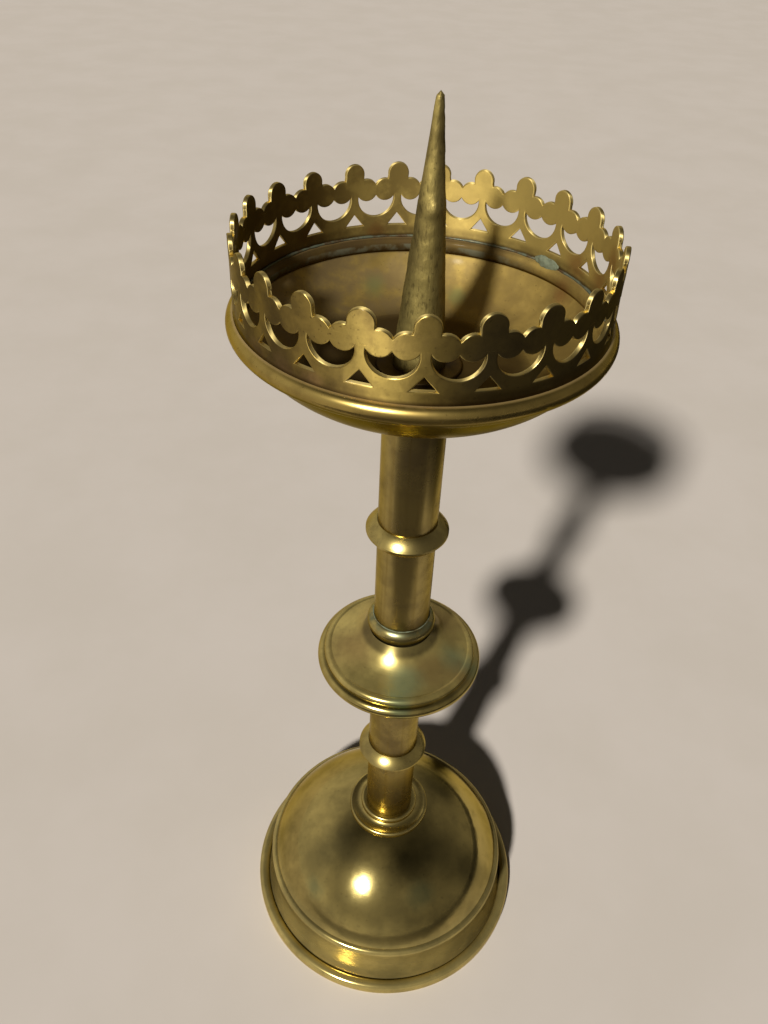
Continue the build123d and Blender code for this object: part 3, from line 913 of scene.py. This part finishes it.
def lay_floor():
    """Plain pale floor."""
    bpy.ops.object.select_all(action="DESELECT")
    bpy.ops.mesh.primitive_plane_add(size=20)
    floor = bpy.context.object
    floor.name = "floor"
    material = bpy.data.materials.new("pale_matt_floor")
    material.use_nodes = True
    tree = material.node_tree
    shader = tree.nodes["Principled BSDF"]
    shader.inputs["Roughness"].default_value = 0.95
    shader.inputs["Specular IOR Level"].default_value = 0.1
    at = add(tree, "ShaderNodeTexCoord").outputs["Object"]
    shade = mottle(tree, at, 120, 0.3, 0.7)
    colour = laid_over(tree, linear("#D0C8BF"), shade, "#CCC4BA")
    tree.links.new(colour, shader.inputs["Base Color"])
    floor.data.materials.append(material)


def light_room():
    """One far lamp at the front left, and a dim room whose pale walls show in the metal."""
    lamp_data = bpy.data.lights.new("far_lamp", "SUN")
    lamp_data.energy = LAMP_STRENGTH
    lamp_data.angle = math.radians(LAMP_WIDTH)
    lamp_data.color = linear("#FFFAF3")[:3]
    lamp = bpy.data.objects.new("far_lamp", lamp_data)
    bpy.context.scene.collection.objects.link(lamp)
    side = math.radians(LAMP_SIDE)
    height = math.radians(LAMP_HEIGHT)
    towards = Vector((math.cos(side) * math.cos(height), math.sin(side) * math.cos(height), math.sin(height)))
    lamp.rotation_mode = "QUATERNION"
    lamp.rotation_quaternion = towards.to_track_quat("Z", "Y")
    world = bpy.data.worlds.new("dim_room")
    world.use_nodes = True
    tree = world.node_tree
    background = tree.nodes["Background"]
    direction = add(tree, "ShaderNodeTexCoord").outputs["Generated"]
    split = add(tree, "ShaderNodeSeparateXYZ", {0: direction})
    walls = fade(tree, split.outputs[2], 0.9, 0.5)
    shade = laid_over(tree, linear("#4E4A43"), walls, "#7A746B")
    left = both(tree, walls, fade(tree, split.outputs[0], 0.7, -0.4))
    shade = laid_over(tree, shade, left, "#CBC3B7")
    links = {0: direction, 1: towards}
    near_lamp = add(tree, "ShaderNodeVectorMath", links, operation="DOT_PRODUCT").outputs["Value"]
    shade = laid_over(tree, shade, fade(tree, near_lamp, 0.72, 0.98), "#8F887D")
    path = add(tree, "ShaderNodeLightPath")
    seen = reckon(tree, "MAXIMUM", path.outputs["Is Camera Ray"], path.outputs["Is Glossy Ray"])
    links = {FACTOR: seen, COLOUR_A: linear("#33312E"), COLOUR_B: shade}
    shade = add(tree, "ShaderNodeMix", links, data_type="RGBA").outputs[COLOUR_OUT]
    tree.links.new(shade, background.inputs["Color"])
    bpy.context.scene.world = world


def set_card(name, low, high, code):
    """Dark card on the floor that only reflections see, as a studio sets round bright metal."""
    bpy.ops.object.select_all(action="DESELECT")
    bpy.ops.mesh.primitive_plane_add(size=1, location=((low[0] + high[0]) / 2, (low[1] + high[1]) / 2, MM))
    card = bpy.context.object
    card.name = name
    card.scale = (high[0] - low[0], high[1] - low[1], 1)
    card.visible_camera = False
    card.visible_diffuse = False
    card.visible_shadow = False
    card.visible_transmission = False
    material = bpy.data.materials.new("black_card")
    material.use_nodes = True
    material.node_tree.nodes["Principled BSDF"].inputs["Base Color"].default_value = linear(code)
    material.node_tree.nodes["Principled BSDF"].inputs["Roughness"].default_value = 1
    card.data.materials.append(material)


bpy.context.scene.view_settings.view_transform = "Standard"

turned_metal = turned_brass()
tube_metal = drawn_brass()
knop_metal = knop_brass()
iron = forged_iron()
pan_metal = pan_brass()
strip_metal = pierced_brass()
cast_metal = cast_brass()
solder = soft_solder()
crust = verdigris()

finishes = {
    "foot": spun_brass(),
    "foot_collar": turned_metal,
    "lower_tube": tube_metal,
    "lower_ring": turned_metal,
    "lower_middle_tube": tube_metal,
    "knop_lower_collar": turned_metal,
    "knop_lower_half": knop_metal,
    "knop_upper_half": knop_metal,
    "knop_upper_collar": collar_brass(),
    "upper_middle_tube": tube_metal,
    "upper_ring": turned_metal,
    "top_tube": tube_metal,
    "stem_plug": turned_metal,
    "drip_pan": pan_metal,
    "coronet": strip_metal,
    "pricket_washer": washer_brass(),
    "pricket": cast_metal,
    "tie_rod": iron,
    "foot_washer": iron,
    "foot_nut": iron,
}
for node_name, finish in finishes.items():
    nodes[node_name].data.materials.clear()
    nodes[node_name].data.materials.append(finish)

make_coronet_strip(strip_metal)
make_spike(cast_metal)
seam_lumps = lumps("seam_lumps", 4)
make_ring_line(
    "solder_seam", SEAM_RADIUS, rim_top, SEAM_ROUND, seam_lumps, SEAM_UNEVEN, solder, "pan"
)
crust_lumps = lumps("crust_lumps", 2)
crust_radius = tube_radius + CRUST_GAP
make_ring_line(
    "crust_on_knop_collar",
    crust_radius,
    knop_top,
    CRUST_ROUND,
    crust_lumps,
    CRUST_UNEVEN,
    crust,
    "stem",
)
make_solder_patch(crust)
make_knop_sweep(knop_metal)

lay_floor()
set_card("front_card", (-0.4, -4.0), (0.3, -0.2), "#544E47")
set_card("front_right_card", (0.3, -4.0), (4.0, -0.2), "#171412")
set_card("right_card", (0.36, -0.2), (4.0, 4.0), "#171412")
light_room()
place_camera()
